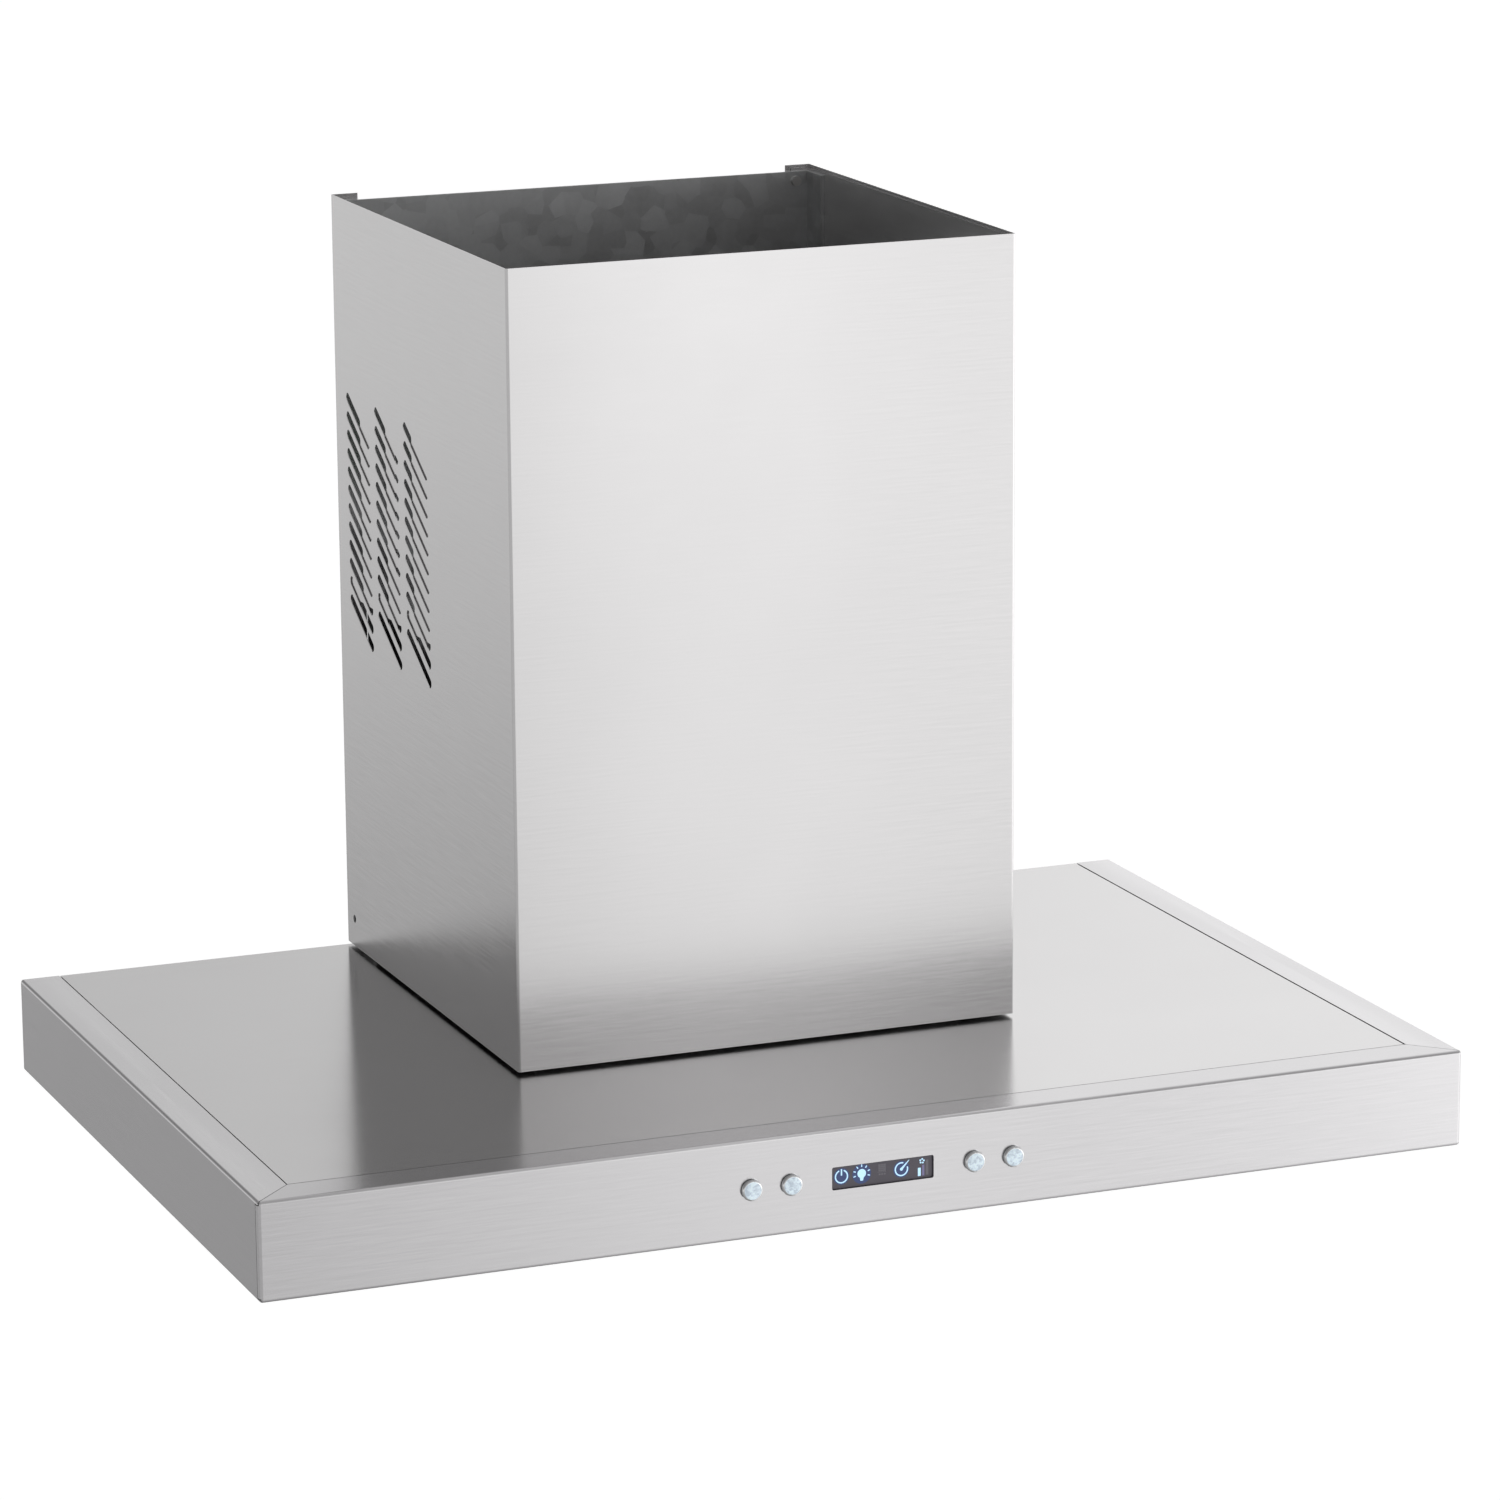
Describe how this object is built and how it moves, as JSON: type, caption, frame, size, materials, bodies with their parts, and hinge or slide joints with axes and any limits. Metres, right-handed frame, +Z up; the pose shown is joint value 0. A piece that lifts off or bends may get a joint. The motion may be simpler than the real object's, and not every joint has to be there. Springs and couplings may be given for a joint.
{
  "type": "wall-mounted range hood",
  "caption": "Brushed stainless chimney range hood for a wall, with a shallow canopy, louvred telescopic cover, push buttons and a lit display.",
  "frame": {"origin": "middle of the canopy's bottom rear edge, on the wall plane", "axes": "+X to the cook's right, +Y into the wall, +Z up"},
  "size_m": [0.762, 0.5035, 0.548],
  "materials": {
    "stainless": "brushed along the hood's width",
    "fascia_steel": "brushed along each face",
    "inner_steel": "galvanised sheet",
    "screw_steel": "zinc plated",
    "shaft_steel": "ground",
    "filter_aluminium": "satin",
    "latch_plastic": "fine texture",
    "chrome": "polished",
    "button_lens": "pale blue, softly lit",
    "window": "smoked, glossy",
    "display": "dark",
    "board": "solder-masked",
    "black_plastic": "moulded",
    "motor_paint": "satin black",
    "capacitor_can": "drawn",
    "rubber": "matt",
    "cable_jacket": "satin jacket",
    "lamp_glass": "frosted"
  },
  "bodies": {
    "hood": {"box_screws": "screw_steel", "button_guides": "black_plastic", "cable_bushing": "black_plastic", "capacitor": "capacitor_can", "collar_ring": "inner_steel", "collar_screws": "screw_steel", "control_board": "board", "control_bracket": "inner_steel", "control_cable": "cable_jacket", "cover_brackets": "inner_steel", "deck_screws": "screw_steel", "display_module": "display", "display_window": "window", "duct_collar": "inner_steel", "front_fascia": "fascia_steel", "inlet_rings": "inner_steel", "junction_box": "inner_steel", "junction_lid": "inner_steel", "lamp_bezels": "chrome", "lamp_housings": "motor_paint", "lamp_lenses": "lamp_glass", "left_fascia": "fascia_steel", "lower_cover": "stainless", "motor_body": "motor_paint", "motor_box": "inner_steel", "motor_bracket": "inner_steel", "motor_grommets": "rubber", "outlet_transition": "inner_steel", "power_board": "board", "rear_panel": "inner_steel", "right_fascia": "fascia_steel", "scroll_side_left": "inner_steel", "scroll_side_right": "inner_steel", "scroll_wrap": "inner_steel", "tact_switches": "black_plastic", "terminal_block": "black_plastic", "top_panel": "stainless", "underside_panel": "inner_steel", "wall_plate": "inner_steel"},
    "upper_chimney": {"upper_cover": "stainless", "upper_bracket": "inner_steel", "bracket_screws": "screw_steel"},
    "blower": {"blower_wheel": "inner_steel", "motor_shaft": "shaft_steel"},
    "front_flap": {"damper_flap_front": "black_plastic"},
    "rear_flap": {"damper_flap_rear": "black_plastic"},
    "left_filter": {"filter_left_frame": "filter_aluminium", "filter_left_baffles": "filter_aluminium"},
    "left_latch": {"filter_left_latch": "latch_plastic"},
    "right_filter": {"filter_right_frame": "filter_aluminium", "filter_right_baffles": "filter_aluminium"},
    "right_latch": {"filter_right_latch": "latch_plastic"},
    "power_key": {"power_button": "chrome", "power_button_lens": "button_lens"},
    "light_key": {"light_button": "chrome", "light_button_lens": "button_lens"},
    "timer_key": {"timer_button": "chrome", "timer_button_lens": "button_lens"},
    "speed_key": {"speed_button": "chrome", "speed_button_lens": "button_lens"}
  },
  "joints": [
    {"name": "upper_chimney_slide", "type": "slide", "parent": "hood", "child": "upper_chimney", "axis": [0, 0, 1], "range_m": [0, 0.2]},
    {"name": "blower_spin", "type": "hinge", "parent": "hood", "child": "blower", "pos_m": [0, -0.185, 0.178], "axis": [1, 0, 0], "continuous": true},
    {"name": "front_flap_hinge", "type": "hinge", "parent": "hood", "child": "front_flap", "pos_m": [0, -0.1025, 0.344], "axis": [-1, 0, 0], "range_deg": [0, 78]},
    {"name": "rear_flap_hinge", "type": "hinge", "parent": "hood", "child": "rear_flap", "pos_m": [0, -0.0935, 0.344], "axis": [1, 0, 0], "range_deg": [0, 78]},
    {"name": "left_filter_hinge", "type": "hinge", "parent": "hood", "child": "left_filter", "pos_m": [-0.168, -0.04, 0.0015], "axis": [1, 0, 0], "range_deg": [0, 70]},
    {"name": "left_latch_slide", "type": "slide", "parent": "left_filter", "child": "left_latch", "axis": [0, 1, 0], "range_m": [0, 0.0035], "stiffness_N_per_m": 400, "springref_m": -0.002},
    {"name": "right_filter_hinge", "type": "hinge", "parent": "hood", "child": "right_filter", "pos_m": [0.168, -0.04, 0.0015], "axis": [1, 0, 0], "range_deg": [0, 70]},
    {"name": "right_latch_slide", "type": "slide", "parent": "right_filter", "child": "right_latch", "axis": [0, 1, 0], "range_m": [0, 0.0035], "stiffness_N_per_m": 400, "springref_m": -0.002},
    {"name": "power_key_slide", "type": "slide", "parent": "hood", "child": "power_key", "axis": [0, 1, 0], "range_m": [0, 0.0015], "stiffness_N_per_m": 400, "springref_m": -0.002},
    {"name": "light_key_slide", "type": "slide", "parent": "hood", "child": "light_key", "axis": [0, 1, 0], "range_m": [0, 0.0015], "stiffness_N_per_m": 400, "springref_m": -0.002},
    {"name": "timer_key_slide", "type": "slide", "parent": "hood", "child": "timer_key", "axis": [0, 1, 0], "range_m": [0, 0.0015], "stiffness_N_per_m": 400, "springref_m": -0.002},
    {"name": "speed_key_slide", "type": "slide", "parent": "hood", "child": "speed_key", "axis": [0, 1, 0], "range_m": [0, 0.0015], "stiffness_N_per_m": 400, "springref_m": -0.002}
  ]
}
